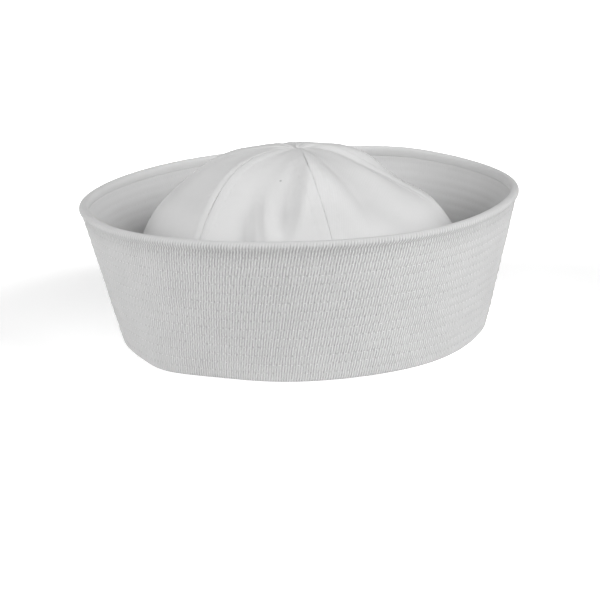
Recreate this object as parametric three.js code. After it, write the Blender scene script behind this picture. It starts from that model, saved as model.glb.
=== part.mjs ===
// White cotton sailor cap: a six-gore dome crown inside a tall upturned brim.
// Millimetres, +Z up. The origin is the middle of the cap on the surface it rests on.
// The front is -Y, and the cap is round, as it is when nobody wears it.

import * as THREE from 'three';

// Driving dimensions
const BASE_RADIUS = 95;       // outer face of the brim where it meets the surface
const RIM_RADIUS = 112.4;     // outer face of the brim at its top edge
const BRIM_HEIGHT = 72.3;     // top edge of the brim above the surface
const CLOTH = 1.2;            // one ply of cotton twill with its turnings
const GAP = 0.3;              // clearance between two pieces that are sewn together
const FOOT_WIDTH = 5.5;       // turned-in bottom edge that the cap rests on
const ROLL_LENGTH = 5;        // rolled top edge, measured along the brim
const ROLL_SWELL = 0.8;       // how far the roll stands out of the brim's two faces
const CROWN_HEIGHT = 95;      // dome above the surface, before its folds
const CROWN_POWER = 2;        // 2 is an ellipse, and more is a squarer shoulder
const STAND_WIDTH = 12.2;     // reach of the cloth that a stiff seam holds up on each side
const STAND_DROP = 16;        // degrees down the dome from which a seam has its full stand
const TURNING_WIDTH = 5.5;    // seam allowance pressed open under each edge of a gore
const TURNING_RISE = 0.5;     // how far it lifts the cloth
const TURNING_FLAT = 0.8;     // share of its width that is lifted, before the cloth steps down
const TURNING_LIMIT = 0.2;    // most of a narrow gore's width that one turning takes
const WIDE_GORE = 24;         // width from which a gore's turnings have their full rise
const SEAT_BLEND = 20;        // degrees of the dome above its foot in which folds and turnings fade
const TIP_RADIUS = 1.2;       // where the gores' points meet
const APEX_DIP = 0.6;         // puckered middle of the crown
const APEX_REACH = 5;         // degrees down the dome that the pucker reaches

// Seams between the gores, one gore after each. azimuth is in degrees from +X, and the seam of the
// soft crown sways sideways by sway degrees, most of it at drop degrees down the dome, over long
// degrees of drop each way. In mm, the stiff seam stands out of the soft cloth by stand, and the
// middle of the gore after it puffs out by puff.
const SEAMS = [
  { name: 'front', azimuth: -84, sway: -22.6, drop: 1, long: 28, stand: 0.85, puff: -0.5 },
  { name: 'front right', azimuth: -29.3, sway: -5, drop: 16.7, long: 24.6, stand: 1.5, puff: -0.5 },
  { name: 'back right', azimuth: 44.7, sway: -8.9, drop: 22, long: 18.1, stand: 0.1, puff: 1.9 },
  { name: 'back', azimuth: 100, sway: 0, drop: 40, long: 26, stand: 0.5, puff: 1.7 },
  { name: 'back left', azimuth: 155, sway: 4, drop: 35, long: 26, stand: 0.5, puff: 1.7 },
  { name: 'front left', azimuth: 212, sway: 0, drop: 40, long: 26, stand: 0.5, puff: 1.1 },
];

// Folds of the soft crown. azimuth is in degrees from +X at the fold's middle, drop is degrees
// down the dome from its top, turn is how many degrees of azimuth the fold gains for each degree
// of drop, wide and long are half its size in degrees, and rise is in mm, out of the cloth.
const FOLDS = [
  { name: 'left shoulder swell', azimuth: 200, drop: 30.5, turn: 0, wide: 34, long: 14, rise: 3.5 },
  { name: 'left side swell', azimuth: 205.5, drop: 54, turn: 0, wide: 30, long: 14, rise: 5.3 },
  { name: 'back right swell', azimuth: 58.6, drop: 21.2, turn: 0, wide: 26.3, long: 13, rise: 1.9 },
  { name: 'right shoulder dent', azimuth: 66.5, drop: 37.8, turn: 0, wide: 27.8, long: 14, rise: -6.4 },
  { name: 'right side swell', azimuth: 56.1, drop: 45.9, turn: 0, wide: 19.8, long: 10, rise: 2.9 },
  { name: 'right seam valley', azimuth: 37.3, drop: 22.9, turn: 0, wide: 11.7, long: 11.7, rise: -2.9 },
  { name: 'front pleat', azimuth: -65.3, drop: 51.5, turn: 0.38, wide: 5.1, long: 11.5, rise: -4.6 },
  { name: 'ridge by the pleat', azimuth: -53.4, drop: 46, turn: 0.66, wide: 5.4, long: 14.6, rise: 2.6 },
  { name: 'front valley', azimuth: -50.6, drop: 40.5, turn: 0.05, wide: 6.4, long: 16, rise: -4 },
  { name: 'right dent', azimuth: 8, drop: 42.5, turn: 0.3, wide: 15, long: 11.5, rise: -3.2 },
  { name: 'front right ridge', azimuth: -25, drop: 31, turn: 0.34, wide: 15.5, long: 19.5, rise: 4.2 },
  { name: 'dent by the pleat', azimuth: -71, drop: 50, turn: -0.18, wide: 8.8, long: 21, rise: -2.3 },
  { name: 'crest of the ridge', azimuth: -23.3, drop: 35.5, turn: 0.39, wide: 8.6, long: 19.6, rise: 2 },
  { name: 'front seam ridge', azimuth: -90.8, drop: 35.3, turn: 0.45, wide: 12.6, long: 23.7, rise: 2 },
  { name: 'front gore ridge', azimuth: -42.3, drop: 40.7, turn: -0.32, wide: 5.6, long: 15.8, rise: 3.2 },
  { name: 'back dent', azimuth: 122, drop: 42, turn: 0.2, wide: 9, long: 18, rise: -2.4 },
];

// Mesh fineness
const RING_STEPS = 72;
const ROLL_STEPS = 6;
const PANEL_COLUMNS = 16;
const PANEL_ROWS = 20;

// Values that follow from the driving dimensions
const FLARE = Math.atan2(RIM_RADIUS - BASE_RADIUS, BRIM_HEIGHT);
const BRIM_LENGTH = Math.hypot(RIM_RADIUS - BASE_RADIUS, BRIM_HEIGHT);
const ROLL_FOOT = BRIM_LENGTH - ROLL_LENGTH;
const BRIM_THICKNESS = 2 * CLOTH + GAP;
const SEAT = CLOTH + GAP;     // bottom of every ply that stands on the turned-in foot
const CROWN_RADIUS = ringRadius(-BRIM_THICKNESS, SEAT) - GAP;

// A point of the brim's cross-section: along is the distance up the brim, out is outward.
function brimPoint(along, out) {
  return new THREE.Vector2(
    BASE_RADIUS + along * Math.sin(FLARE) + out * Math.cos(FLARE),
    along * Math.cos(FLARE) - out * Math.sin(FLARE),
  );
}

// Distance up the brim at which a line parallel to its outer face reaches a height
function alongAt(out, height) {
  return (height + out * Math.sin(FLARE)) / Math.cos(FLARE);
}

function ringRadius(out, height) {
  return brimPoint(alongAt(out, height), out).x;
}

function clothMaterial(color) {
  return new THREE.MeshStandardMaterial({ color, roughness: 0.95, metalness: 0 });
}

function ringMesh(name, profile, color) {
  const geometry = new THREE.LatheGeometry([...profile, profile[0]], RING_STEPS);
  geometry.rotateX(Math.PI / 2);
  const mesh = new THREE.Mesh(geometry, clothMaterial(color));
  mesh.name = name;
  return mesh;
}

// Outer ply: turned in at the foot, and rolled over the top edge onto the inner ply
function brimOuter() {
  const rollRadius = BRIM_THICKNESS / 2 + ROLL_SWELL;
  const rollMiddle = -BRIM_THICKNESS / 2;
  const rollTop = BRIM_LENGTH - rollRadius;
  const profile = [new THREE.Vector2(BASE_RADIUS, 0), brimPoint(ROLL_FOOT, 0)];
  for (let step = 0; step <= ROLL_STEPS; step += 1) {
    const turn = (Math.PI * step) / ROLL_STEPS;
    const along = rollTop + rollRadius * Math.sin(turn);
    profile.push(brimPoint(along, rollMiddle + rollRadius * Math.cos(turn)));
  }
  profile.push(brimPoint(ROLL_FOOT, -BRIM_THICKNESS));
  profile.push(brimPoint(ROLL_FOOT, -CLOTH));
  profile.push(brimPoint(alongAt(-CLOTH, CLOTH), -CLOTH));
  profile.push(new THREE.Vector2(BASE_RADIUS - FOOT_WIDTH, CLOTH));
  profile.push(new THREE.Vector2(BASE_RADIUS - FOOT_WIDTH, 0));
  return ringMesh('brim_outer', profile, '#eeeeec');
}

// Inner ply: from the foot up to the roll
function brimInner() {
  const front = -(CLOTH + GAP);
  const back = -BRIM_THICKNESS;
  const top = ROLL_FOOT - GAP;
  const profile = [
    brimPoint(alongAt(front, SEAT), front),
    brimPoint(top, front),
    brimPoint(top, back),
    brimPoint(alongAt(back, SEAT), back),
  ];
  return ringMesh('brim_inner', profile, '#e6e6e4');
}

function bell(distance, halfWidth) {
  return Math.exp(-((distance / halfWidth) ** 2));
}

function wrapDegrees(angle) {
  return ((((angle + 180) % 360) + 360) % 360) - 180;
}

// Height of the cloth above the plain dome, in mm, out of the cloth, at a place across a gore
// that is width mm wide there
function relief(index, azimuth, drop, across, width) {
  const flat = Math.min(1, (90 - drop) / SEAT_BLEND);
  const seam = SEAMS[index];
  const next = SEAMS[(index + 1) % SEAMS.length];
  const puff = seam.puff * Math.sin(Math.PI * across) * Math.sin((drop * Math.PI) / 90);
  const stand = seam.stand * bell(across * width, STAND_WIDTH) +
    next.stand * bell((1 - across) * width, STAND_WIDTH);
  let height = puff + stand * Math.min(1, drop / STAND_DROP) - APEX_DIP * bell(drop, APEX_REACH);
  for (const fold of FOLDS) {
    const middle = fold.azimuth + fold.turn * (drop - fold.drop);
    height += fold.rise * bell(wrapDegrees(azimuth - middle), fold.wide) *
      bell(drop - fold.drop, fold.long);
  }
  return height * flat;
}

// A point of the crown, offset mm out of the plain dome at an azimuth and a drop in degrees
function crownPoint(azimuth, drop, offset) {
  const angle = (drop * Math.PI) / 180;
  const power = 2 / CROWN_POWER;
  const normal = new THREE.Vector2(
    CROWN_HEIGHT * power * Math.cos(angle) ** (power - 1) * Math.sin(angle),
    CROWN_RADIUS * Math.cos(angle),
  ).normalize();
  const radius = CROWN_RADIUS * Math.sin(angle) + offset * normal.x;
  const turn = (azimuth * Math.PI) / 180;
  return [
    radius * Math.cos(turn),
    radius * Math.sin(turn),
    CROWN_HEIGHT * Math.cos(angle) ** power + offset * normal.y,
  ];
}

// Places across a gore from 0 to 1, with a step at the end of the turning along each edge
function columnPlaces(width) {
  const strip = Math.min(TURNING_LIMIT, TURNING_WIDTH / width);
  const step = strip * TURNING_FLAT;
  const places = [0, step];
  const middle = PANEL_COLUMNS - 4;
  for (let column = 0; column <= middle; column += 1) {
    places.push(strip + ((1 - 2 * strip) * column) / middle);
  }
  return [...places, 1 - step, 1];
}

// Where a seam lies at a drop. Seam 6 is seam 0 again, one turn on.
function seamAzimuth(index, drop) {
  const seam = SEAMS[index % SEAMS.length];
  const turns = Math.floor(index / SEAMS.length);
  return seam.azimuth + 360 * turns + seam.sway * bell(drop - seam.drop, seam.long);
}

// One gore, as a closed thin shell between the seam before it and the seam after it
function crownPanel(index) {
  const topDrop = (Math.asin(TIP_RADIUS / CROWN_RADIUS) * 180) / Math.PI;
  const lowDrop = (Math.acos((SEAT / CROWN_HEIGHT) ** (CROWN_POWER / 2)) * 180) / Math.PI;
  const positions = [];
  for (const depth of [0, CLOTH]) {
    for (let row = 0; row <= PANEL_ROWS; row += 1) {
      const drop = topDrop + ((lowDrop - topDrop) * row) / PANEL_ROWS;
      const radius = CROWN_RADIUS * Math.sin((drop * Math.PI) / 180);
      const margin = ((GAP / 2 / radius) * 180) / Math.PI;
      const start = seamAzimuth(index, drop) + margin;
      const span = seamAzimuth(index + 1, drop) - margin - start;
      const width = (radius * span * Math.PI) / 180;
      const room = Math.min(1, width / WIDE_GORE, (lowDrop - drop) / SEAT_BLEND);
      columnPlaces(width).forEach((across, column) => {
        const azimuth = start + span * across;
        const turned = depth === 0 && (column < 2 || column > PANEL_COLUMNS - 2);
        const lift = turned ? TURNING_RISE * room : 0;
        const height = relief(index, azimuth, drop, across, width) + lift - depth;
        positions.push(...crownPoint(azimuth, drop, height));
      });
    }
  }
  const geometry = new THREE.BufferGeometry();
  geometry.setAttribute('position', new THREE.Float32BufferAttribute(positions, 3));
  geometry.setIndex(shellFaces(PANEL_ROWS, PANEL_COLUMNS));
  geometry.computeVertexNormals();
  const mesh = new THREE.Mesh(geometry, clothMaterial('#f2f2f0'));
  mesh.name = `crown_panel_${index + 1}`;
  return mesh;
}

// Triangles of a shell made of two like grids, the outer one first, closed round its border
function shellFaces(rows, columns) {
  const wide = columns + 1;
  const inner = wide * (rows + 1);
  const faces = [];
  const quad = (a, b, c, d) => faces.push(a, b, c, a, c, d);
  for (let row = 0; row < rows; row += 1) {
    for (let column = 0; column < columns; column += 1) {
      const corner = row * wide + column;
      quad(corner, corner + wide, corner + wide + 1, corner + 1);
      quad(inner + corner, inner + corner + 1, inner + corner + wide + 1, inner + corner + wide);
    }
  }
  for (let row = 0; row < rows; row += 1) {
    const first = row * wide;
    const last = first + columns;
    quad(first, inner + first, inner + first + wide, first + wide);
    quad(last, last + wide, inner + last + wide, inner + last);
  }
  const low = rows * wide;
  for (let column = 0; column < columns; column += 1) {
    quad(column, column + 1, inner + column + 1, inner + column);
    quad(low + column, inner + low + column, inner + low + column + 1, low + column + 1);
  }
  return faces;
}

const cap = new THREE.Group();
cap.add(brimOuter(), brimInner());
for (let index = 0; index < SEAMS.length; index += 1) {
  cap.add(crownPanel(index));
}

export default cap;
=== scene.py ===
import math
from functools import partial
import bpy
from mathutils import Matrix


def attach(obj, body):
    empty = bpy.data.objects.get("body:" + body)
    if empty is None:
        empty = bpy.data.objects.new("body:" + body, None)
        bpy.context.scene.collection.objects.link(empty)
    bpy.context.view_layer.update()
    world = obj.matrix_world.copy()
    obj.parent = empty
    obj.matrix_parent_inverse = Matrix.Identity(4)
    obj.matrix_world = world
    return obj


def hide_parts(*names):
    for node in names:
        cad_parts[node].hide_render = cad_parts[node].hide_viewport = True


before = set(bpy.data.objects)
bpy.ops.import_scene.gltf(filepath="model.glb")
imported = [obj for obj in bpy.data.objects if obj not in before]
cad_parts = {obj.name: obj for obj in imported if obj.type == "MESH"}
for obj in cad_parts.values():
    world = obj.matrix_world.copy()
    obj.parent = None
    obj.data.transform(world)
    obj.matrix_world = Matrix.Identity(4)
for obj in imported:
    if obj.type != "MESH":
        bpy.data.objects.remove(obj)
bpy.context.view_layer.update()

from types import SimpleNamespace

import bpy
import numpy as np
from mathutils import Matrix, Vector

bl_info = {
    "name": "Sailor cap",
    "version": (1, 0, 0),
    "blender": (4, 5, 0),
    "location": "View3D > Sidebar > Cap",
    "description": "Sews a white cotton sailor cap from its gores, its two brim plies and their stitches",
    "category": "Object",
}

# Metres in a millimetre, and the body that every piece is attached to
MM = 0.001
BODY = "root"


def table(names, *rows):
    """Rows of values that share their names."""
    return [SimpleNamespace(**dict(zip(names.split(), row))) for row in rows]


# Seams between the gores, as the solids have them. In degrees: azimuth, and the sway, drop and half_length
# of its curve. In mm: how far the stiff seam stands out of the cloth, and the gore after it puffs out.
SEAMS = table(
    "azimuth sway drop half_length stand puff",
    (-84, -22.6, 1, 28, 0.85, -0.5),
    (-29.3, -5, 16.7, 24.6, 1.5, -0.5),
    (44.7, -8.9, 22, 18.1, 0.1, 1.9),
    (100, 0, 40, 26, 0.5, 1.7),
    (155, 4, 35, 26, 0.5, 1.7),
    (212, 0, 40, 26, 0.5, 1.1),
)

# The groove of each seam in mm: its depth, and how wide its walls are before and after it
GROOVES = table(
    "depth before after",
    (0.34, 1.5, 0.8),
    (0.18, 0.8, 0.8),
    (0.6, 1.2, 2.6),
    (0.45, 1.4, 1.4),
    (0.45, 1.4, 1.4),
    (0.45, 1.4, 1.4),
)

# Folds of the soft crown: azimuth, drop, half_width and half_length in degrees, turn in degrees of
# azimuth for each degree of drop, and rise in mm out of the cloth. The solids leave out the last two, and
# the seventh to ninth, which make the pleat, lie up to 2 mm off theirs.
FOLDS = table(
    "azimuth drop turn half_width half_length rise",
    (200, 30.5, 0, 34, 14, 3.5),
    (205.5, 54, 0, 30, 14, 5.3),
    (58.6, 21.2, 0, 26.3, 13, 1.9),
    (66.5, 37.8, 0, 27.8, 14, -6.4),
    (56.1, 45.9, 0, 19.8, 10, 2.9),
    (37.3, 22.9, 0, 11.7, 11.7, -2.9),
    (-64.7, 51.5, 0.38, 3.6, 13, -3.7),
    (-54.4, 46, 0.5, 5.4, 14.6, 2.3),
    (-48.6, 40.5, -0.25, 6.8, 16, -3.6),
    (8, 42.5, 0.3, 15, 11.5, -3.2),
    (-25, 31, 0.34, 15.5, 19.5, 4.2),
    (-71, 50, -0.18, 8.8, 21, -2.3),
    (-23.3, 35.5, 0.39, 8.6, 19.6, 2),
    (-90.8, 35.3, 0.45, 12.6, 23.7, 2),
    (-42.3, 40.7, -0.32, 5.6, 15.8, 3.2),
    (122, 42, 0.2, 9, 18, -2.4),
    (-13.5, 27, 0.18, 4, 15, -0.9),
    (-59.5, 45.7, 0.36, 1.7, 9.8, -0.8),
)

# Where the soft brim sags at its top edge: azimuth and half_width in degrees, and fall in mm
RIM_SAGS = table(
    "azimuth half_width fall",
    (-152, 20, 0.9),
    (-62, 25, -0.5),
    (-8, 20, 0.8),
    (68, 18, 1.0),
    (106, 16, -1.1),
)

# How the brim's top edge sways out of a true circle: waves round it, out in mm, and start in radians
BRIM_SWAYS = table(
    "waves out start",
    (3, 0.45, 0.8),
    (5, 0.3, 2.1),
    (11, 0.16, 0.4),
)

# Where the brim's foot bulges: azimuth and half_width in degrees, and out in mm
FOOT_BULGES = table(
    "azimuth half_width out",
    (-88, 10, 3.0),
    (-66, 12, -1.6),
    (-5, 16, 1.2),
    (25, 14, -0.8),
    (120, 25, 1.0),
)


def measure(name, description, metres):
    """A size that a user would change."""
    return bpy.props.FloatProperty(name=name, description=description, default=metres, unit="LENGTH")


def shade(name, description, colour_hex):
    """A colour that a user would change, as sRGB hex."""
    return bpy.props.StringProperty(name=name, description=description, default=colour_hex)


class CapSizes(bpy.types.PropertyGroup):
    """Sizes of the cap"""

    base_radius: measure("Base radius", "Outer face of the brim where it stands", 0.095)
    rim_radius: measure("Rim radius", "Outer face of the brim at its top edge", 0.1124)
    brim_height: measure("Brim height", "Top edge of the brim above the surface", 0.0723)
    cloth: measure("Cloth", "Thickness of one ply of twill", 0.0012)
    ply_gap: measure("Ply gap", "Clearance between plies that are sewn together", 0.0003)
    foot_width: measure("Foot width", "Turned-in bottom edge of the brim", 0.0055)
    roll_length: measure("Roll length", "Rolled top edge, along the brim", 0.005)
    roll_swell: measure("Roll swell", "How far the roll stands out of the brim", 0.0008)
    crown_height: measure("Crown height", "Dome above the surface, before its folds", 0.095)
    crown_power: bpy.props.FloatProperty(
        name="Crown shoulder", description="2 is an ellipse, and more is a squarer shoulder", default=2.0)
    apex_dip: measure("Apex dip", "Puckered middle of the crown", 0.0006)
    turning_width: measure("Turning width", "Seam allowance pressed open under a gore's edge", 0.0055)
    row_count: bpy.props.IntProperty(
        name="Rows", description="Level rows of stitching round the brim", default=14)
    first_row: measure("First row", "First row below the top of the roll, along the cloth", 0.0092)
    row_spacing: measure("Row spacing", "Distance between two rows", 0.00476)
    stitch_length: measure("Stitch length", "From one needle hole to the next", 0.003)
    thread: measure("Thread", "Thickness of the sewing thread", 0.00036)
    rib_count: bpy.props.IntProperty(
        name="Ribs", description="Twill ribs round the brim", default=478)


class CapColours(bpy.types.PropertyGroup):
    """Colours of the cap and its stage, as sRGB hex"""

    # The ribs' light and shade are painted: a rib's top is lit and the groove between two ribs is shaded, on
    # both plies.
    ridge: shade("Twill ridge", "Top of a rib", "#c1c1c1")
    valley: shade("Twill valley", "Between two ribs", "#979797")
    inside_ridge: shade("Inside ridge", "Top of a rib on the inner ply", "#dadada")
    inside_valley: shade("Inside valley", "Between two ribs on the inner ply", "#bfbfbf")
    crown: shade("Crown cloth", "Fine twill of the gores", "#d5d5d5")
    crown_shade: shade("Crown shade", "Softer tone in the gores' cloth", "#cccccc")
    # Painted highlight: the lightest tone of the brim's outside thread
    thread: shade("Thread", "Lightest tone of the brim's thread", "#dedede")
    # Painted shade in the needle holes
    hole: shade("Needle hole", "Pricked cloth in a row", "#8b8b8b")
    speck: shade("Speck", "Small dark mark on a gore", "#6a6a6a")
    floor: shade("Floor", "Studio table", "#fdfdfd")


def sizes():
    """The cap's sizes by name, lengths in mm."""
    group = bpy.context.scene.cap_sizes
    plain = {"crown_power", "row_count", "rib_count"}
    values = {key: getattr(group, key) for key in group.__annotations__}
    return SimpleNamespace(**{key: value if key in plain else value / MM for key, value in values.items()})


def linear(colour_hex):
    """An sRGB hex colour as linear RGBA."""
    parts = [int(colour_hex[place:place + 2], 16) / 255 for place in (1, 3, 5)]
    return [part / 12.92 if part <= 0.04045 else ((part + 0.055) / 1.055) ** 2.4 for part in parts] + [1.0]


def bell(distance, half_width):
    return np.exp(-((distance / half_width) ** 2))


def wrap_degrees(angle):
    return (angle + 180) % 360 - 180


def near_azimuth(place, azimuth):
    """1 at the azimuth of a place in a table, and less away from it."""
    return bell(wrap_degrees(azimuth - place.azimuth), place.half_width)


# A ripple's waves: how many, the radians by which each turns and starts after the last, the shortest one's
# share of the wavelength, what each longer one adds to it, and the height that counts as 1
RIPPLE = SimpleNamespace(waves=5, turn=2.4, start=1.7, shortest=0.75, longer=0.17, height=3)


def ripple(turns, along, girth, kind, piece=0):
    """Gentle unevenness of hand-sewn cloth, from about -1 to 1, the same on every run.

    Whole waves go round the girth, so that the cloth meets itself after one turn.
    """
    total = 0
    seed = kind.seed + piece
    for step in range(RIPPLE.waves):
        slant = RIPPLE.turn * step + seed
        pitch = kind.wavelength * (RIPPLE.shortest + RIPPLE.longer * step)
        waves = round(girth * math.cos(slant) / pitch)
        phase = waves * turns + along * math.sin(slant) / pitch
        total = total + np.sin(2 * math.pi * phase + RIPPLE.start * step * seed)
    return total / RIPPLE.height


# Shape of the brim

def brim_flare(size):
    return math.atan2(size.rim_radius - size.base_radius, size.brim_height)


def brim_length(size):
    return math.hypot(size.rim_radius - size.base_radius, size.brim_height)


def brim_thickness(size):
    return 2 * size.cloth + size.ply_gap


def from_section(size, radius, height):
    """A radius and height as (along the brim, out of its outer face)."""
    flare = brim_flare(size)
    reach = radius - size.base_radius
    return (
        reach * math.sin(flare) + height * math.cos(flare),
        reach * math.cos(flare) - height * math.sin(flare),
    )


def foot_bulge(azimuth):
    """How far the brim's foot stands out of a plain circle, in mm."""
    return sum(bulge.out * near_azimuth(bulge, azimuth) for bulge in FOOT_BULGES)


def brim_surface(size, turns, along, out):
    """Points of the brim in mm: turns round it from +X, along it from the foot, out of its outer face."""
    flare = brim_flare(size)
    share = np.maximum(along / brim_length(size), 0)
    angle = 2 * math.pi * turns
    degrees = wrap_degrees(360 * turns)
    sway = sum(wave.out * np.sin(wave.waves * angle + wave.start) for wave in BRIM_SWAYS)
    radius = size.base_radius + along * math.sin(flare) + out * math.cos(flare) + sway * share
    radius = radius + foot_bulge(degrees) * np.clip(1 - share, 0, 1) ** 2
    height = along * math.cos(flare) - out * math.sin(flare)
    for sag in RIM_SAGS:
        height = height - sag.fall * near_azimuth(sag, degrees) * share ** 3
    return np.stack([radius * np.cos(angle), radius * np.sin(angle), height], -1)


def row_places(size):
    """Distance of each row of stitching from the top of the roll, along the cloth."""
    return size.first_row + size.row_spacing * np.arange(size.row_count)


def stitch_counts(size):
    """Stitches that fill the first row, and how many fewer fill each shorter row below it."""
    flare = brim_flare(size)
    full_turn = 2 * math.pi / size.stitch_length
    top = size.rim_radius - size.first_row * math.sin(flare)
    return full_turn * top, full_turn * size.row_spacing * math.sin(flare)


def stitches_in_row(size, row):
    most, fewer = stitch_counts(size)
    return math.floor(most - fewer * row + 0.5)


# Each row's stitches start this share of a stitch before those of the row above.
ROW_SHIFT = 0.37
# The cloth swells unevenly between the rows, is pinched in along them, and ripples all over. Heights, half
# widths and wavelengths are in mm.
SWELL = SimpleNamespace(height=0.2, half_width=1.7, uneven=0.35, wavelength=31, seed=0.6)
PINCH = SimpleNamespace(depth=0.22, half_width=0.75)
BRIM_RIPPLE = SimpleNamespace(height=0.12, wavelength=22, seed=1.9)


def quilting(size, down, turns):
    """How far the cloth between the rows swells, and is pinched in along them, in mm."""
    rows = row_places(size)
    nearest = np.abs(down[..., None] - rows).min(-1)
    inside = np.clip((rows[-1] + size.row_spacing - down) / size.row_spacing, 0, 1)
    girth = 2 * math.pi * size.base_radius
    uneven = 1 + SWELL.uneven * ripple(turns, down, girth, SWELL)
    swell = SWELL.height * (1 - bell(nearest, SWELL.half_width)) * uneven
    pinch = PINCH.depth * bell(nearest, PINCH.half_width)
    return (swell - pinch) * inside + BRIM_RIPPLE.height * ripple(turns, down, girth, BRIM_RIPPLE)


def roll_drop(size):
    """Length of the cloth from the roll's top to its foot on the outside."""
    radius = brim_thickness(size) / 2 + size.roll_swell
    return radius * math.pi / 2 + size.roll_length - radius


def along_face(size, down):
    """Distance along the brim from its foot, by the distance down the cloth."""
    return brim_length(size) - size.roll_length - (down - roll_drop(size))


# The inner ply lies flatter than the outer one.
INSIDE_QUILTING = 0.35


def outer_face(size, turns, down, lift):
    """Points on the outer face, below the roll, by the distance down the cloth from the roll's top."""
    return brim_surface(size, turns, along_face(size, down), quilting(size, down, turns) + lift)


def inner_face(size, turns, down, lift):
    """Points on the inner ply's face, likewise. Its swelling goes inwards."""
    out = -brim_thickness(size) - INSIDE_QUILTING * quilting(size, down, turns) - lift
    return brim_surface(size, turns, along_face(size, down), out)


# Shape of the crown

def crown_radius(size):
    """Outer radius of the crown at its foot, just inside the inner ply."""
    flare = brim_flare(size)
    seat = size.cloth + size.ply_gap
    inner = size.base_radius + seat * math.tan(flare) - brim_thickness(size) / math.cos(flare)
    return inner - size.ply_gap


def seam_azimuth(index, drop):
    seam = SEAMS[index % len(SEAMS)]
    turns = index // len(SEAMS)
    return seam.azimuth + 360 * turns + seam.sway * bell(drop - seam.drop, seam.half_length)


def gore_width(size, index, drop):
    """Width of a gore round the plain dome at a drop in degrees, in mm."""
    span = seam_azimuth(index + 1, drop) - seam_azimuth(index, drop)
    return np.radians(span) * crown_radius(size) * np.sin(np.radians(drop))


# Degrees of the dome above its foot over which its relief flattens out
SEAT_BLEND = 20
# Degrees of the dome above its foot that follow the bulges of the brim's foot
FOOT_BLEND = 22
# How far the dip at the apex reaches, in degrees
APEX_REACH = 5
# Where the gores' tips are gathered: gathers round the apex, their height in mm and reach in degrees
GATHERS = SimpleNamespace(count=11, height=0.3, drop=4.5, half_length=3.5)


def crown_relief(size, index, azimuth, drop, across):
    """Height of one gore's cloth above the plain dome, in mm."""
    flat = np.minimum(1, (90 - drop) / SEAT_BLEND)
    puff = SEAMS[index].puff * np.sin(math.pi * across) * np.sin(np.radians(2 * drop))
    height = puff - size.apex_dip * bell(drop, APEX_REACH)
    gathered = bell(drop - GATHERS.drop, GATHERS.half_length)
    height = height + GATHERS.height * np.sin(GATHERS.count * np.radians(azimuth)) * gathered
    for fold in FOLDS:
        below = drop - fold.drop
        near = near_azimuth(fold, azimuth - fold.turn * below)
        height = height + fold.rise * near * bell(below, fold.half_length)
    return height * flat


def crown_surface(size, azimuth, drop, offset):
    """Points in mm, offset out of the plain dome at an azimuth and a drop in degrees."""
    angle = np.radians(drop)
    power = 2 / size.crown_power
    wide = crown_radius(size)
    tall = size.crown_height
    normal_out = tall * power * np.cos(angle) ** (power - 1) * np.sin(angle)
    normal_up = wide * np.cos(angle)
    length = np.hypot(normal_out, normal_up)
    radius = wide * np.sin(angle) + offset * normal_out / length
    height = tall * np.cos(angle) ** power + offset * normal_up / length
    turn = np.radians(azimuth)
    return np.stack([radius * np.cos(turn), radius * np.sin(turn), height], -1)


# Beside a seam, in mm: how wide the cloth stands out with it, the lift and soft edge of the turning under the
# cloth, and the pinch of the stitch line along that edge
STAND_WIDTH = 12.2
TURNING = SimpleNamespace(lift=0.24, softness=0.6)
STITCH_LINE = SimpleNamespace(depth=0.14, half_width=0.8)
# Puckers beside a seam: height and half_width in mm, place as a share of the turning, and their waves, which
# drift, in radians for each degree of drop
PUCKER = SimpleNamespace(height=0.1, half_width=5, place=0.7, wave=1.9, drift=1.3, drift_wave=0.31)
PUCKER_SEED = 2.1
# Degrees below the apex over which a seam's shape grows, the drop where it ends, and over how many it fades
SEAM_GROWN = 16
SEAM_END = 88
SEAM_FADE = 10


def seam_shape(size, index, side, near, drop):
    """The cloth near mm away from a seam: its wall of the groove, the turning and its stitch line."""
    index = index % len(SEAMS)
    seed = PUCKER_SEED * index
    width = size.turning_width
    reach = np.clip(drop / SEAM_GROWN, 0, 1)
    fade = np.clip((SEAM_END - drop) / SEAM_FADE, 0, 1)
    groove = -GROOVES[index].depth * bell(near, getattr(GROOVES[index], side))
    stand = SEAMS[index].stand * bell(near, STAND_WIDTH)
    lift = TURNING.lift / (1 + np.exp((near - width) / TURNING.softness))
    pinch = -STITCH_LINE.depth * bell(near - width, STITCH_LINE.half_width)
    drift = PUCKER.drift * np.sin(PUCKER.drift_wave * drop + seed)
    pucker = PUCKER.height * bell(near - width * PUCKER.place, PUCKER.half_width)
    pucker = pucker * np.sin(PUCKER.wave * drop + seed + drift)
    return (groove + (stand + lift + pinch + pucker) * reach) * fade


# The ripple of a gore: height and wavelength in mm, mm of cloth for each degree of drop, the drop by which it
# has grown out of the apex, and the girth that it goes round, in radii of the crown
GORE_RIPPLE = SimpleNamespace(height=0.22, wavelength=26, seed=0.9, per_degree=1.4, grown=20, girth=4.3)


def gore_surface(size, index, across, drop, lift=0.0):
    """Points in mm of one gore's outer face, across it from 0 to 1 at a drop in degrees."""
    first = seam_azimuth(index, drop)
    last = seam_azimuth(index + 1, drop)
    azimuth = first + (last - first) * across
    radius = crown_radius(size) * np.sin(np.radians(drop))
    to_first = np.radians(azimuth - first) * radius
    to_last = np.radians(last - azimuth) * radius
    height = crown_relief(size, index, azimuth, drop, across)
    height = height + seam_shape(size, index, "after", to_first, drop)
    height = height + seam_shape(size, index + 1, "before", to_last, drop)
    along = drop * GORE_RIPPLE.per_degree
    girth = GORE_RIPPLE.girth * crown_radius(size)
    rippled = ripple(azimuth / 360, along, girth, GORE_RIPPLE, index)
    height = height + GORE_RIPPLE.height * rippled * np.clip(drop / GORE_RIPPLE.grown, 0, 1)
    height = height + foot_bulge(azimuth) * np.clip(1 - (90 - drop) / FOOT_BLEND, 0, 1) ** 2
    return crown_surface(size, azimuth, drop, height + lift)


# The gores' tips end this many degrees from the apex, where they close up.
TIP_DROP = 0.12


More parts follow.
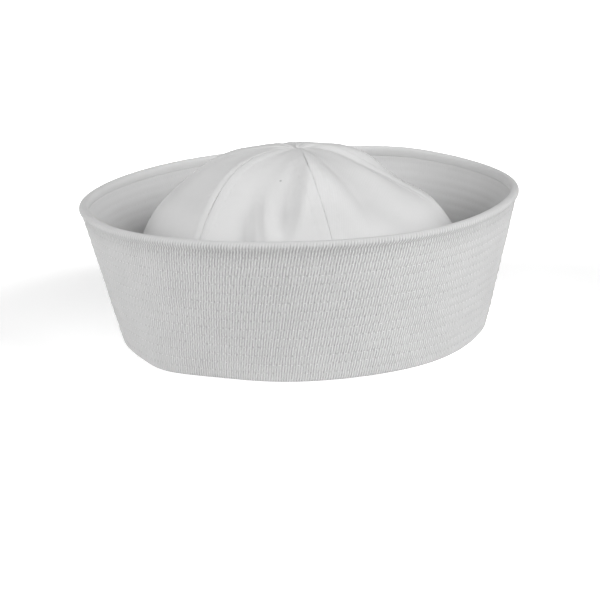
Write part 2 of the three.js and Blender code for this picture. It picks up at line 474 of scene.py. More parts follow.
def gore_drops(size):
    """Drops in degrees of a gore's tip and foot."""
    seat = (size.cloth + size.ply_gap) / size.crown_height
    low = math.degrees(math.acos(seat ** (size.crown_power / 2)))
    return TIP_DROP, low


# Making pieces

def deselect():
    if bpy.context.object and bpy.context.object.mode != "OBJECT":
        bpy.ops.object.mode_set(mode="OBJECT")
    bpy.ops.object.select_all(action="DESELECT")


def pick(piece):
    """Makes a piece the active one, and the only one selected."""
    deselect()
    bpy.context.view_layer.objects.active = piece
    piece.select_set(True)


def cloth_grid(name, columns, rows):
    """A flat grid of cloth, and where each of its points lies across and along it from 0 to 1."""
    deselect()
    bpy.ops.mesh.primitive_grid_add(x_subdivisions=columns, y_subdivisions=rows, size=1.0, calc_uvs=True)
    piece = bpy.context.object
    piece.name = name
    piece.data.name = name
    flat = np.empty(len(piece.data.vertices) * 3)
    piece.data.vertices.foreach_get("co", flat)
    flat = flat.reshape(-1, 3) + 0.5
    return piece, flat[:, 0], flat[:, 1]


def put_points(piece, points_mm):
    piece.data.vertices.foreach_set("co", (points_mm * MM).ravel())
    piece.data.update()


def map_cloth(piece, across, along):
    """Lays the piece's UV map out from values at its points."""
    corner = np.empty(len(piece.data.loops), dtype=np.int64)
    piece.data.loops.foreach_get("vertex_index", corner)
    layer = piece.data.uv_layers.active
    layer.data.foreach_set("uv", np.stack([across[corner], along[corner]], -1).ravel())


# Points closer than this, in mm, are one.
MERGE_REACH = 0.004


def sew_shut(piece):
    """Merges the edges that meet, and turns every face outwards."""
    pick(piece)
    bpy.ops.object.mode_set(mode="EDIT")
    bpy.ops.mesh.select_all(action="SELECT")
    bpy.ops.mesh.remove_doubles(threshold=MERGE_REACH * MM)
    bpy.ops.mesh.normals_make_consistent(inside=False)
    bpy.ops.object.mode_set(mode="OBJECT")
    bpy.ops.object.shade_smooth()


def thicken(piece, thickness):
    """Gives a sheet its thickness on its inner side."""
    pick(piece)
    wall = piece.modifiers.new("Thickness", "SOLIDIFY")
    wall.thickness = thickness
    wall.offset = -1
    wall.use_even_offset = False
    bpy.ops.object.modifier_apply(modifier=wall.name)
    bpy.ops.object.shade_smooth()


def finish_piece(piece, material, slot, *nodes):
    piece.data.materials.clear()
    piece.data.materials.append(material)
    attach(piece, BODY)
    if nodes:
        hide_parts(*nodes)


def cloth_area(points, columns, rows):
    """Area in square metres of a grid of points in mm, rows + 1 by columns + 1."""
    grid = points.reshape(rows + 1, columns + 1, 3)
    across = grid[:-1, 1:] - grid[:-1, :-1]
    along = grid[1:, :-1] - grid[:-1, :-1]
    return float(np.linalg.norm(np.cross(across, along), axis=-1).sum()) * MM * MM


# Materials

def add_node(tree, kind, inputs=(), out=0, **settings):
    """Adds a node with its settings, and its inputs in order or by name, and returns one of its outputs.

    An input that is a socket is linked, and a plain value is set.
    """
    node = tree.nodes.new("ShaderNode" + kind)
    for key, value in settings.items():
        setattr(node, key, value)
    for key, value in inputs.items() if isinstance(inputs, dict) else enumerate(inputs):
        if isinstance(value, bpy.types.NodeSocket):
            tree.links.new(value, node.inputs[key])
        else:
            node.inputs[key].default_value = value
    return node.outputs[out] if node.outputs else None


def empty_material(name):
    """A material without nodes, and what adds a node to it."""
    material = bpy.data.materials.new(name)
    material.use_nodes = True
    material.node_tree.nodes.clear()
    return material, partial(add_node, material.node_tree)


# What all cloth and thread here, and the table, have in common
MATT = {"IOR": 1.5, "Specular IOR Level": 0.25, "Sheen Roughness": 0.5}


def finish_material(add, look):
    """Adds the shader, with what all materials here share and this one's own look."""
    surface = add("BsdfPrincipled", {**MATT, **look})
    add("OutputMaterial", {"Surface": surface})


# Ribs lean by these degrees, and wander by this share of their spacing.
RIB_LEAN = 10.5
RIB_WANDER = 0.9
# The roll is drawn tight, so its ribs are faint over its top and inside, boldest just below, and plain
# again further down. The same shares paint the roll's top lighter, as painted light, and the band just below
# it darker, as painted shade. These are reaches down the cloth in mm, and shares of the plain ribs.
RIBS_OVER_ROLL = {"From Min": 0.8, "From Max": 3.6, "To Min": 0.1, "To Max": 1.3}
RIBS_BELOW_ROLL = {"From Min": 8.0, "From Max": 14.0, "To Min": 1.0, "To Max": 0.77}
# How far the rib strength paints the roll's top lighter and the band below it darker, as light and shade
PAINTED_ROLL_LIGHT_AND_SHADE = 0.5
# Along a rib its boldness changes from spot to spot.
RIBS_UNEVEN = {"From Min": 0.32, "From Max": 0.68, "To Min": 0.1, "To Max": 1.9}
# Round the brim the ribs' painted light and shade, and their bump, are bold at the front, where the lights
# graze the ribs, and fainter at the sides and back, where the lights fall more squarely on them.
FRONT_TURNS = 318 / 360
RIB_LIGHT_AND_SHADE_ROUND = {"From Min": 0.6, "From Max": 0.88, "To Min": 0.5, "To Max": 1.0}
# The hem inside the roll takes the inner ply's lighter colours.
HEM_INSIDE = {"From Min": -1.5, "From Max": 0.8, "To Min": 0.5, "To Max": 0.0}
# A needle hole is drawn out along the ribs, so distance across the row counts for less.
HOLE_STRETCH = 0.65
# A hole's painted shade by the distance from it in mm, its least share, and what chance adds to that
HOLE_MARK = {"From Min": 0.1, "From Max": 0.6, "To Min": 1.0, "To Max": 0.0}
HOLE_LEAST = 0.12
HOLE_CHANCE = 0.55
# Shares of the ribs' painted light and shade and of soft clouds in the cloth's tone, and heights of ribs and
# holes in its relief
RIB_TONE = 0.375
CLOUD_TONE = 0.25
RIB_RELIEF = 0.5
HOLE_RELIEF = -1.6
# Noises that unsettle the cloth, by the size of their spots
WANDER_NOISE = {"Scale": 1 / (16 * MM), "Detail": 2.0}
UNEVEN_NOISE = {"Scale": 1 / (1.5 * MM), "Detail": 1.0}
CLOUD_NOISE = {"Scale": 1 / (14 * MM), "Detail": 3.0, "Roughness": 0.6}
# Boldness of the ribs on the outer ply's face, and on the inner ply, which shows the back of its cloth
FACE_BOLDNESS = 1.0
BACK_BOLDNESS = 0.12


def stitched_twill(name, size, colours, boldness):
    """Heavy cotton twill, woven with a slanted rib and pricked by the needle along each row.

    The ribs give fine upright lines of painted light and shade, bold on the face of the cloth and faint on
    its back, and each needle hole is a small soft dip with painted shade.
    """
    material, add = empty_material(name)
    place = add("UVMap", uv_map="UVMap")
    turns = add("SeparateXYZ", [place], 0)
    down = add("SeparateXYZ", [place], 1)
    coordinates = add("TexCoord", out="Object")

    rib_pitch = math.pi * (size.base_radius + size.rim_radius) / size.rib_count
    lean = math.tan(math.radians(RIB_LEAN)) / rib_pitch
    wander = add("TexNoise", {"Vector": coordinates, **WANDER_NOISE})
    ribs = add("CombineXYZ", [turns, down, wander])
    ribs = add("VectorMath", [ribs, (size.rib_count, lean, RIB_WANDER)], "Value", operation="DOT_PRODUCT")
    wave = add("Math", [ribs, 2 * math.pi], operation="MULTIPLY")
    wave = add("Math", [wave], operation="SINE")
    over = add("MapRange", {"Value": down, **RIBS_OVER_ROLL})
    below = add("MapRange", {"Value": down, **RIBS_BELOW_ROLL})
    strength = add("Math", [over, below], operation="MULTIPLY")
    uneven = add("TexNoise", {"Vector": coordinates, **UNEVEN_NOISE})
    uneven = add("MapRange", {"Value": uneven, **RIBS_UNEVEN})
    facing = add("Math", [turns, 2 * math.pi, -2 * math.pi * FRONT_TURNS], operation="MULTIPLY_ADD")
    facing = add("Math", [facing], operation="COSINE")
    facing = add("MapRange", {"Value": facing, **RIB_LIGHT_AND_SHADE_ROUND})
    for factor in (facing, uneven, strength, boldness):
        wave = add("Math", [wave, factor], operation="MULTIPLY")

    spacing = size.row_spacing
    row = add("Math", [down, 1 / spacing, -size.first_row / spacing], operation="MULTIPLY_ADD")
    nearest_row = add("Math", [row], operation="ROUND")
    off_row = add("Math", [row, nearest_row], operation="SUBTRACT")
    most, fewer = stitch_counts(size)
    count = add("Math", [nearest_row, -fewer, most + 0.5], operation="MULTIPLY_ADD")
    count = add("Math", [count], operation="FLOOR")
    shift = add("Math", [nearest_row, ROW_SHIFT], operation="MULTIPLY")
    shift = add("Math", [shift], operation="FRACT")
    stitch = add("Math", [turns, count, shift], operation="MULTIPLY_ADD")
    off_hole = add("Math", [stitch, 0.5], operation="PINGPONG")
    off = add("CombineXYZ", [off_row, off_hole])
    off = add("VectorMath", [off, (spacing * HOLE_STRETCH, size.stitch_length, 0)], operation="MULTIPLY")
    off = add("VectorMath", [off], "Value", operation="LENGTH")
    hole = add("MapRange", {"Value": off, **HOLE_MARK}, interpolation_type="SMOOTHSTEP")
    rows = size.row_count
    in_rows = add("Math", [nearest_row, (rows - 1) / 2, rows / 2 - 0.25], operation="COMPARE")
    hole = add("Math", [hole, in_rows], operation="MULTIPLY")
    # No two needle holes close up alike, so each keeps its own share of the painted shade.
    which = add("Math", [stitch], operation="ROUND")
    which = add("CombineXYZ", [which, nearest_row])
    chance = add("TexWhiteNoise", [which], "Value", noise_dimensions="2D")
    open_share = add("Math", [chance, HOLE_CHANCE * boldness, HOLE_LEAST * boldness],
                     operation="MULTIPLY_ADD")
    hole = add("Math", [hole, open_share], operation="MULTIPLY")

    cloud = add("TexNoise", {"Vector": coordinates, **CLOUD_NOISE})
    # The tone paints the ribs' light and shade, the roll's lit top and the shade below it, and soft clouds in
    # the cloth.
    tone = add("Math", [strength, -PAINTED_ROLL_LIGHT_AND_SHADE, RIB_TONE + PAINTED_ROLL_LIGHT_AND_SHADE], operation="MULTIPLY_ADD")
    for part, share in ((wave, RIB_TONE), (cloud, CLOUD_TONE)):
        tone = add("Math", [part, share, tone], operation="MULTIPLY_ADD")
    face = add("Mix", {0: tone, 6: linear(colours.valley), 7: linear(colours.ridge)}, 2, data_type="RGBA")
    back = add("Mix", {0: tone, 6: linear(colours.inside_valley), 7: linear(colours.inside_ridge)}, 2,
               data_type="RGBA")
    hem = add("MapRange", {"Value": down, **HEM_INSIDE})
    hem = add("Math", [hem, float(boldness < FACE_BOLDNESS)], operation="MAXIMUM")
    colour = add("Mix", {0: hem, 6: face, 7: back}, 2, data_type="RGBA")
    # Painted shade darkens each needle hole; the relief below also dips there.
    colour = add("Mix", {0: hole, 6: colour, 7: linear(colours.hole)}, 2, data_type="RGBA")
    height = add("Math", [wave, RIB_RELIEF], operation="MULTIPLY")
    height = add("Math", [hole, HOLE_RELIEF, height], operation="MULTIPLY_ADD")
    normal = add("Bump", {"Height": height, "Distance": 0.2 * MM, "Strength": 0.7})
    finish_material(add, {
        "Base Color": colour, "Normal": normal, "Roughness": 0.92, "Sheen Weight": 0.12})
    return material


# Distance of two wales in mm
CROWN_TWILL = 0.9
# The twill's lines slant across a gore and down it in these shares.
TWILL_SLANT = (0.8, 0.6, 0)
# Shares of the wales, of soft clouds and of thick spots in the cloth's tone, and heights in its relief
WALE_TONE = 0.12
SOFT_TONE = 0.55
SLUB_TONE = 0.2
WALE_RELIEF = 0.25
SLUB_RELIEF = 0.8
SOFT_NOISE = {"Scale": 1 / (11 * MM), "Detail": 4.0, "Roughness": 0.6}
SLUB_NOISE = {"Scale": 1 / (1.6 * MM), "Detail": 2.0}
# The speck's mark by the distance from its middle
SPECK_MARK = {"From Min": 0.3 * MM, "From Max": 0.85 * MM, "To Min": 0.5, "To Max": 0.0}


def fine_twill(colours, speck):
    """Lighter cotton twill, woven so fine that it reads as a soft matt white with faint slanted lines."""
    material, add = empty_material("fine_cotton_twill")
    place = add("UVMap", uv_map="UVMap")
    coordinates = add("TexCoord", out="Object")
    # A real wale of about half a millimetre wouldn't show, so it is drawn at CROWN_TWILL.
    wale = add("VectorMath", [place, TWILL_SLANT], "Value", operation="DOT_PRODUCT")
    wale = add("Math", [wale, 2 * math.pi / CROWN_TWILL], operation="MULTIPLY")
    wale = add("Math", [wale], operation="SINE")
    cloud = add("TexNoise", {"Vector": coordinates, **SOFT_NOISE})
    slub = add("TexNoise", {"Vector": coordinates, **SLUB_NOISE})
    tone = add("Math", [wale, WALE_TONE, WALE_TONE], operation="MULTIPLY_ADD")
    for part, share in ((cloud, SOFT_TONE), (slub, SLUB_TONE)):
        tone = add("Math", [part, share, tone], operation="MULTIPLY_ADD")
    colour = add("Mix", {0: tone, 6: linear(colours.crown_shade), 7: linear(colours.crown)}, 2,
                 data_type="RGBA")
    away = add("VectorMath", [coordinates, speck * MM], "Value", operation="DISTANCE")
    mark = add("MapRange", {"Value": away, **SPECK_MARK}, interpolation_type="SMOOTHSTEP")
    colour = add("Mix", {0: mark, 6: colour, 7: linear(colours.speck)}, 2, data_type="RGBA")
    height = add("Math", [wale, WALE_RELIEF], operation="MULTIPLY")
    height = add("Math", [slub, SLUB_RELIEF, height], operation="MULTIPLY_ADD")
    normal = add("Bump", {"Height": height, "Distance": 0.1 * MM, "Strength": 0.45})
    finish_material(add, {
        "Base Color": colour, "Normal": normal, "Roughness": 0.93, "Sheen Weight": 0.12})
    return material


def cotton_thread(name, size, dark, light):
    """Spun cotton sewing thread in the tones of its cloth, so that it shows only by its fine twist,
    though on the brim's outside its light tone is a painted highlight.
    """
    material, add = empty_material(name)
    coordinates = add("TexCoord", out="Object")
    twist = 1 / (size.thread * MM)
    strand = add("TexNoise", {"Vector": coordinates, "Scale": twist, "Detail": 1.0})
    colour = add("Mix", {0: strand, 6: linear(dark), 7: linear(light)}, 2, data_type="RGBA")
    normal = add("Bump", {"Height": strand, "Distance": 0.05 * MM, "Strength": 0.5})
    finish_material(add, {"Base Color": colour, "Normal": normal, "Roughness": 0.8, "Sheen Weight": 0.2})
    return material


WHITE = (1, 1, 1, 1)
TABLE_GLOW = 0.34


def light_table(colours):
    """Matt white acrylic of a studio light table, lit from below so that shadows on it stay pale."""
    material, add = empty_material("white_acrylic_table")
    finish_material(add, {
        "Base Color": linear(colours.floor), "Roughness": 0.95, "Emission Color": WHITE,
        "Emission Strength": TABLE_GLOW})
    return material


# Brim pieces

# Faces round the brim, and between two rows of stitching on the outer and the inner ply
BRIM_COLUMNS = 480
ROWS_IN_CHANNEL = 7
INSIDE_ROWS_IN_CHANNEL = 6
# Faces over the hem inside the roll, over the roll and in the groove below it, and points round the foot
HEM_STEPS = 7
ROLL_STEPS = 18
GROOVE_STEPS = 5
CORNER_POINTS = 6
# Rows of faces over which the swelling starts and ends
QUILT_BLEND = 9
# In mm: the bend at the foot, the roll's lip inside, the groove below it and the rounding of the cut edge
CORNER_RADIUS = 1.0
LIP_LENGTH = 5.4
ROLL_GROOVE = 0.4
EDGE_RADIUS = 0.3
# The bend at the foot starts at this turn, in radians, and the hem at this share of a step.
CORNER_START = 0.3
HEM_START = 0.25
# Edges that meet flush are eased by no more than this.
SHARP = 0.05
# Where the points lie on a ply's hidden side
HIDDEN_SHARES = (0.25, 0.5, 0.75, 1.0)


def outer_section(size):
    """The outer ply's closed section: points along and out, how far down they lie, and which are its face.

    It starts hidden under the roll's inner lip, goes over the roll, down the outside, round the foot
    and back up between the plies.
    """
    length = brim_length(size)
    thick = brim_thickness(size)
    radius = thick / 2 + size.roll_swell
    roll_foot = length - size.roll_length
    middle = length - radius
    lip = length - LIP_LENGTH
    points = [(lip, -size.cloth), (lip, -thick + SHARP), (lip + SHARP, -thick)]
    for step in range(HEM_STEPS):
        share = (step + HEM_START) / HEM_STEPS
        swell = size.roll_swell * math.sin(math.pi / 2 * share)
        points.append((lip + (middle - lip) * share, -thick - swell))
    top = len(points) + ROLL_STEPS // 2
    for step in range(ROLL_STEPS + 1):
        turn = math.pi - math.pi * step / ROLL_STEPS
        points.append((middle + radius * math.sin(turn), -thick / 2 + radius * math.cos(turn)))
    for step in range(1, GROOVE_STEPS + 1):
        share = step / GROOVE_STEPS
        ease = 0.5 + 0.5 * math.cos(math.pi * share)
        swell = (size.roll_swell + ROLL_GROOVE) * ease - ROLL_GROOVE
        points.append((middle + (roll_foot - middle) * share, swell))
    face_start = len(points)
    foot_along = from_section(size, size.base_radius, CORNER_RADIUS)[0]
    count = (size.row_count + 1) * ROWS_IN_CHANNEL
    points += [(roll_foot + (foot_along - roll_foot) * step / count, 0.0) for step in range(1, count + 1)]
    face_end = len(points)
    corner = size.base_radius - CORNER_RADIUS
    for turn in np.linspace(CORNER_START, math.pi / 2, CORNER_POINTS):
        reach = corner + CORNER_RADIUS * math.cos(turn)
        points.append(from_section(size, reach, CORNER_RADIUS - CORNER_RADIUS * math.sin(turn)))
    foot = size.base_radius - size.foot_width
    points += [from_section(size, foot + EDGE_RADIUS, 0.0), from_section(size, foot, EDGE_RADIUS),
               from_section(size, foot, size.cloth)]
    behind = size.base_radius - size.cloth / math.cos(brim_flare(size)) + EDGE_RADIUS
    back = from_section(size, behind, size.cloth)[0]
    points.append((back, -size.cloth))
    points += [(back + (lip - back) * share, -size.cloth) for share in HIDDEN_SHARES]
    section = np.array(points)
    steps = np.hypot(*np.diff(section, axis=0).T)
    down = np.concatenate([[0], np.cumsum(steps)])
    down = down - down[top]
    return section, down, slice(face_start, face_end)


def make_ring(name, size, section, down, face, side):
    """Wraps a flat strip of cloth into a ring with a closed section, and closes it."""
    rows = len(section) - 1
    piece, turns, share = cloth_grid(name, BRIM_COLUMNS, rows)
    row = np.rint(share * rows).astype(int)
    depth = down[row]
    on_face = np.zeros(len(section))
    on_face[face] = 1
    blend = np.convolve(on_face, np.ones(QUILT_BLEND) / QUILT_BLEND, mode="same") * on_face
    quilt = quilting(size, depth, turns) * blend[row] * side
    points = brim_surface(size, turns, section[row, 0], section[row, 1] + quilt)
    put_points(piece, points)
    map_cloth(piece, turns, depth)
    area = cloth_area(points, BRIM_COLUMNS, rows) / 2
    sew_shut(piece)
    return piece, area


class CAP_OT_brim_outer(bpy.types.Operator):
    """Wraps the brim's outer ply, with its rolled top edge, quilted face and turned-in foot"""

    bl_idname = "cap.brim_outer"
    bl_label = "Outer brim"

    def execute(self, context):
        size = sizes()
        piece, area = make_ring("brim_outer_cloth", size, *outer_section(size), 1)
        twill = stitched_twill("cotton_twill_face", size, context.scene.cap_colours, FACE_BOLDNESS)
        finish_piece(piece, twill, "brim_cloth", "brim_outer")
        return {"FINISHED"}


def inner_section(size):
    """The inner ply's closed section, from its top under the roll, down its face and back up."""
    front = -brim_thickness(size)
    back = -(size.cloth + size.ply_gap)
    top = brim_length(size) - LIP_LENGTH - SHARP / 2
    flare = brim_flare(size)
    front_foot, back_foot = ((side * math.sin(flare) - back) / math.cos(flare) for side in (front, back))
    count = size.row_count * INSIDE_ROWS_IN_CHANNEL
    points = [(top, back), (top, front + SHARP), (top - SHARP, front), (top - 3 * SHARP, front)]
    face_start = len(points)
    points += [(top + (front_foot - top) * step / count, front) for step in range(1, count + 1)]
    face_end = len(points) - 1
    points += [(back_foot, back)]
    points += [(back_foot + (top - back_foot) * share, back) for share in HIDDEN_SHARES]
    section = np.array(points)
    down = roll_drop(size) + brim_length(size) - size.roll_length - section[:, 0]
    return section, down, slice(face_start, face_end)


class CAP_OT_brim_inner(bpy.types.Operator):
    """Wraps the brim's inner ply, quilted by the same rows"""

    bl_idname = "cap.brim_inner"
    bl_label = "Inner brim"

    def execute(self, context):
        size = sizes()
        piece, area = make_ring("brim_inner_cloth", size, *inner_section(size), -INSIDE_QUILTING)
        twill = stitched_twill("cotton_twill_back", size, context.scene.cap_colours, BACK_BOLDNESS)
        finish_piece(piece, twill, "brim_cloth", "brim_inner")
        return {"FINISHED"}


# Stitches

# A stitch's ends dip into the cloth by a quarter of this, in radii of the thread.
STITCH_BOW = 3.2


def stitch_shape():
    """One stitch lying along X, a unit long and a unit in radius, as points and triangles."""
    deselect()
    bpy.ops.mesh.primitive_uv_sphere_add(segments=6, ring_count=4, radius=1.0)
    model = bpy.context.object
    bpy.ops.object.mode_set(mode="EDIT")
    bpy.ops.mesh.select_all(action="SELECT")
    bpy.ops.transform.rotate(value=math.pi / 2, orient_axis="Y", center_override=(0, 0, 0))
    bpy.ops.transform.resize(value=(0.5, 1, 1), center_override=(0, 0, 0))
    bpy.ops.mesh.quads_convert_to_tris()
    bpy.ops.object.mode_set(mode="OBJECT")
    points = np.array([vertex.co[:] for vertex in model.data.vertices])
    points[:, 2] -= STITCH_BOW * points[:, 0] ** 2
    triangles = np.array([face.vertices[:] for face in model.data.polygons])
    mesh = model.data
    bpy.data.objects.remove(model)
    bpy.data.meshes.remove(mesh)
    return points, triangles


def lay_stitches(name, starts, ends, outward, size):
    """One mesh of all rows of stitches, each from a start to an end on the cloth, in mm."""
    shape, triangles = stitch_shape()
    starts, ends, outward = (np.concatenate(rows) for rows in (starts, ends, outward))
    along = ends - starts
    outward = outward / np.linalg.norm(outward, axis=1, keepdims=True)
    beside = np.cross(outward, along)
    beside = beside / np.linalg.norm(beside, axis=1, keepdims=True)
    radius = size.thread / 2
    points = (starts + ends)[:, None] / 2 + shape[None, :, :1] * along[:, None]
    points = points + shape[None, :, 1:2] * beside[:, None] * radius
    points = points + shape[None, :, 2:] * outward[:, None] * radius
    faces = triangles[None] + len(shape) * np.arange(len(starts))[:, None, None]
    mesh = bpy.data.meshes.new(name)
    mesh.from_pydata(points.reshape(-1, 3) * MM, [], faces.reshape(-1, 3).tolist())
    mesh.update()
    piece = bpy.data.objects.new(name, mesh)
    bpy.context.scene.collection.objects.link(piece)
    pick(piece)
    bpy.ops.object.shade_smooth()
    return piece


# Share of the way between two needle holes that a stitch shows
STITCH_FILL = 0.86
# Stitches bed down into the soft cloth, deepest into the inner ply.
STITCH_LIFT = -0.04
INSIDE_LIFT = -0.13


def brim_stitches(name, size, surface, side, lift):
    """Every row of stitches on one face of the brim."""
    starts, ends, outward = [], [], []
    for row, down in enumerate(row_places(size)):
        count = stitches_in_row(size, row)
        shift = (row * ROW_SHIFT) % 1
        first = (np.arange(count) + (1 - STITCH_FILL) / 2 - shift) / count
        last = first + STITCH_FILL / count
        depth = np.full(count, down)
        starts.append(surface(size, first, depth, lift))
        ends.append(surface(size, last, depth, lift))
        away = (starts[-1] + ends[-1]) / 2
        away[:, 2] = -np.hypot(away[:, 0], away[:, 1]) * math.tan(brim_flare(size))
        outward.append(away * side)
    return lay_stitches(name, starts, ends, outward, size)


class CAP_OT_brim_stitches(bpy.types.Operator):
    """Sews the level rows through both plies of the brim"""

    bl_idname = "cap.brim_stitches"
    bl_label = "Brim stitches"

    def execute(self, context):
        size = sizes()
        colours = context.scene.cap_colours
        # The outside thread's light tone is a painted highlight on the stitches.
        outside = cotton_thread("outside_cotton_thread", size, colours.ridge, colours.thread)
        inside = cotton_thread("inside_cotton_thread", size, colours.inside_valley, colours.inside_ridge)
        rows = brim_stitches("brim_rows_outside", size, outer_face, 1, STITCH_LIFT)
        finish_piece(rows, outside, "brim_cloth")
        rows = brim_stitches("brim_rows_inside", size, inner_face, -1, INSIDE_LIFT)
        finish_piece(rows, inside, "brim_cloth")
        return {"FINISHED"}


# Crown pieces

# Faces across and along a gore. They crowd towards its seams by a share of their width.
GORE_COLUMNS = 88
GORE_ROWS = 104
EDGE_CROWDING = 0.62
# Two gores lie this far apart in mm at their seam, which takes no more than a share of their width.
SEWN_GAP = 0.03
MOST_MARGIN = 0.2
# Where the small mark lies on the front gore
SPECK_ACROSS = 0.655
SPECK_DROP = 25.2


class CAP_OT_crown_gores(bpy.types.Operator):
    """Shapes the six gores of the crown, with their folds and pressed-open seams"""

    bl_idname = "cap.crown_gores"
    bl_label = "Crown gores"

    def execute(self, context):
        size = sizes()
        tip, low = gore_drops(size)
        speck = gore_surface(size, 0, np.array(SPECK_ACROSS), np.array(SPECK_DROP))
        twill = fine_twill(context.scene.cap_colours, speck)
        for index in range(len(SEAMS)):
            piece, across, share = cloth_grid(f"crown_gore_{index + 1}_cloth", GORE_COLUMNS, GORE_ROWS)
            drop = tip + (low - tip) * (1 - share)
            crowded = across - EDGE_CROWDING * np.sin(2 * math.pi * across) / (2 * math.pi)
            width = gore_width(size, index, drop)
            margin = np.minimum(MOST_MARGIN, SEWN_GAP / 2 / width)
            points = gore_surface(size, index, margin + (1 - 2 * margin) * crowded, drop)
            put_points(piece, points)
            round_mm = (crowded - 0.5) * width
            map_cloth(piece, round_mm, np.radians(drop) * crown_radius(size))
            sew_shut(piece)
            thicken(piece, size.cloth * MM)
            finish_piece(piece, twill, "crown_cloth", f"crown_panel_{index + 1}")
        return {"FINISHED"}


# Drops in degrees at which the rows beside the seams start and end
TOPSTITCH_FROM = 11
TOPSTITCH_TO = 84
# These stitches are pulled down into the cloth until only their tops show.
TOPSTITCH_LIFT = -0.08
# A point this far out of the cloth, in mm, shows which way a stitch faces.
OUT_OF_CLOTH = 1.1


class CAP_OT_crown_stitches(bpy.types.Operator):
    """Sews a row of stitches on each side of every crown seam"""

    bl_idname = "cap.crown_stitches"
    bl_label = "Crown stitches"

    def execute(self, context):
        size = sizes()
        colours = context.scene.cap_colours
        thread = cotton_thread("crown_cotton_thread", size, colours.crown_shade, colours.crown)
        step = math.degrees(size.stitch_length / crown_radius(size))
        drops = np.arange(TOPSTITCH_FROM, TOPSTITCH_TO, step)
        starts, ends, outward = [], [], []
        for index in range(len(SEAMS)):
            for edge in (0, 1):
                for line, share in ((starts, (1 - STITCH_FILL) / 2), (ends, (1 + STITCH_FILL) / 2)):
                    drop = drops + share * step
                    inset = size.turning_width / gore_width(size, index, drop)
                    across = inset if edge == 0 else 1 - inset
                    line.append(gore_surface(size, index, across, drop, TOPSTITCH_LIFT))
                high = gore_surface(size, index, across, drop, OUT_OF_CLOTH)
                outward.append(high - ends[-1])
        piece = lay_stitches("crown_topstitch", starts, ends, outward, size)
        finish_piece(piece, thread, "crown_cloth")
        return {"FINISHED"}


# Stage

CAMERA_AZIMUTH = 48.0
CAMERA_ELEVATION = 16.8
CAMERA_DISTANCE = 0.9605
CAMERA_ROLL = -2.53
CAMERA_LENS = 109.44
CAMERA_SENSOR = 36
CAMERA_NEAREST = 0.01
# Middle of the picture, measured from the middle of the cap's foot along the picture's own axes
AIM_RIGHT = -2.4 * MM
AIM_UP = 12.79 * MM

# Softboxes: azimuth and elevation in degrees round the cap as for the camera, distance and size in metres
SOFTBOXES = table(
    "name azimuth elevation distance size power",
    ("left_softbox", -31, 26, 1.8, 1.3, 24),
    ("right_softbox", 110, 31, 1.8, 1.3, 26),
    ("front_softbox", 60, 31, 1.8, 1.3, 12),
)
# One more lights only the floor behind the cap, straight from above.
BACKDROP = SimpleNamespace(name="backdrop_softbox", behind=1.35, height=0.75, size=1.5, spread=60, power=16)
WORLD_STRENGTH = 0.02
FLOOR_WIDTH = 9.0
# The floor lies this far below the cap, so that the two don't share a plane.
FLOOR_GAP = 0.1 * MM


def toward(azimuth, elevation):
    """Unit vector from the cap to something at an azimuth and elevation."""
    turn = math.radians(azimuth)
    rise = math.radians(elevation)
    return Vector((math.sin(turn) * math.cos(rise), -math.cos(turn) * math.cos(rise), math.sin(rise)))


def add_camera():
    back = toward(CAMERA_AZIMUTH, CAMERA_ELEVATION)
    right = Vector((0, 0, 1)).cross(back).normalized()
    up = back.cross(right)
    roll = math.radians(CAMERA_ROLL)
    right, up = (right * math.cos(roll) + up * math.sin(roll), up * math.cos(roll) - right * math.sin(roll))
    place = back * CAMERA_DISTANCE
    back = (place - right * AIM_RIGHT - up * AIM_UP).normalized()
    right = up.cross(back).normalized()
    up = back.cross(right)
    bpy.ops.object.camera_add()
    camera = bpy.context.object
    camera.name = "photo_camera"
    turned = Matrix((right, up, back)).transposed().to_4x4()
    camera.matrix_world = Matrix.Translation(place) @ turned
    camera.data.sensor_width = CAMERA_SENSOR
    camera.data.lens = CAMERA_LENS
    camera.data.clip_start = CAMERA_NEAREST
    camera.data.dof.use_dof = False
    bpy.context.scene.camera = camera


def add_light(box, place):
    """An area light with a box's name, size and power, which faces down."""
    bpy.ops.object.light_add(type="AREA", location=place)
    light = bpy.context.object
    light.name = box.name
    light.data.size = box.size
    light.data.energy = box.power
    light.visible_camera = False
    return light


def add_softbox(box):
    place = toward(box.azimuth, box.elevation) * box.distance
    light = add_light(box, place)
    light.rotation_euler = place.to_track_quat("Z", "Y").to_euler()
    light.data.shape = "DISK"


def add_backdrop_light():
    place = toward(CAMERA_AZIMUTH, 0) * -BACKDROP.behind + Vector((0, 0, BACKDROP.height))
    light = add_light(BACKDROP, place)
    light.data.spread = math.radians(BACKDROP.spread)


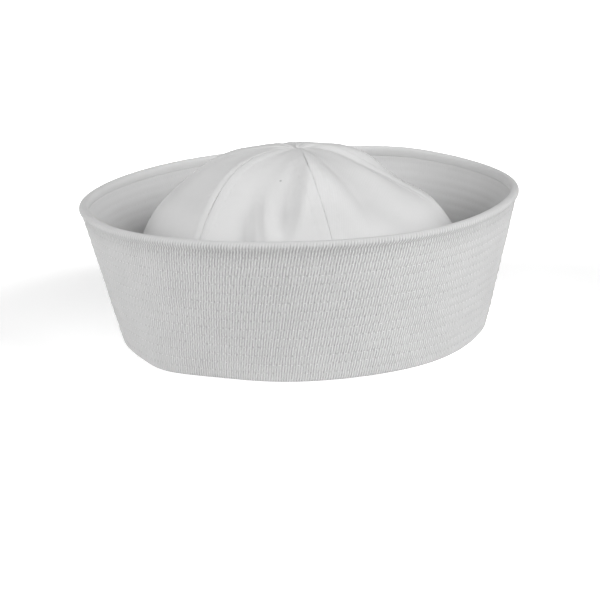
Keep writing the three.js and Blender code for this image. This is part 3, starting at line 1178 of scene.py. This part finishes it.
class CAP_OT_stage(bpy.types.Operator):
    """Lays the pale floor and sets up the soft light and the camera"""

    bl_idname = "cap.stage"
    bl_label = "Stage"

    def execute(self, context):
        deselect()
        bpy.ops.mesh.primitive_plane_add(size=FLOOR_WIDTH, location=(0, 0, -FLOOR_GAP))
        floor = context.object
        floor.name = "studio_floor"
        floor.data.materials.append(light_table(context.scene.cap_colours))
        for box in SOFTBOXES:
            add_softbox(box)
        add_backdrop_light()
        world = bpy.data.worlds.new("studio_air")
        world.use_nodes = True
        air = world.node_tree.nodes["Background"]
        air.inputs["Color"].default_value = WHITE
        air.inputs["Strength"].default_value = WORLD_STRENGTH
        context.scene.world = world
        context.scene.view_settings.view_transform = "Standard"
        add_camera()
        return {"FINISHED"}


class CAP_PT_panel(bpy.types.Panel):
    """Lists the steps that make the cap"""

    bl_idname = "CAP_PT_panel"
    bl_label = "Sailor cap"
    bl_space_type = "VIEW_3D"
    bl_region_type = "UI"
    bl_category = "Cap"

    def draw(self, context):
        for operator in OPERATORS:
            self.layout.operator(operator.bl_idname)
        for group in (context.scene.cap_sizes, context.scene.cap_colours):
            for key in group.__annotations__:
                self.layout.prop(group, key)


OPERATORS = (
    CAP_OT_stage,
    CAP_OT_brim_outer,
    CAP_OT_brim_inner,
    CAP_OT_brim_stitches,
    CAP_OT_crown_gores,
    CAP_OT_crown_stitches,
)
CLASSES = (CapSizes, CapColours, *OPERATORS, CAP_PT_panel)


def register():
    for kind in CLASSES:
        bpy.utils.register_class(kind)
    bpy.types.Scene.cap_sizes = bpy.props.PointerProperty(type=CapSizes)
    bpy.types.Scene.cap_colours = bpy.props.PointerProperty(type=CapColours)


def unregister():
    del bpy.types.Scene.cap_colours
    del bpy.types.Scene.cap_sizes
    for kind in reversed(CLASSES):
        bpy.utils.unregister_class(kind)


def main():
    register()
    bpy.ops.cap.stage()
    bpy.ops.cap.brim_outer()
    bpy.ops.cap.brim_inner()
    bpy.ops.cap.brim_stitches()
    bpy.ops.cap.crown_gores()
    bpy.ops.cap.crown_stitches()


if __name__ == "__main__":
    main()
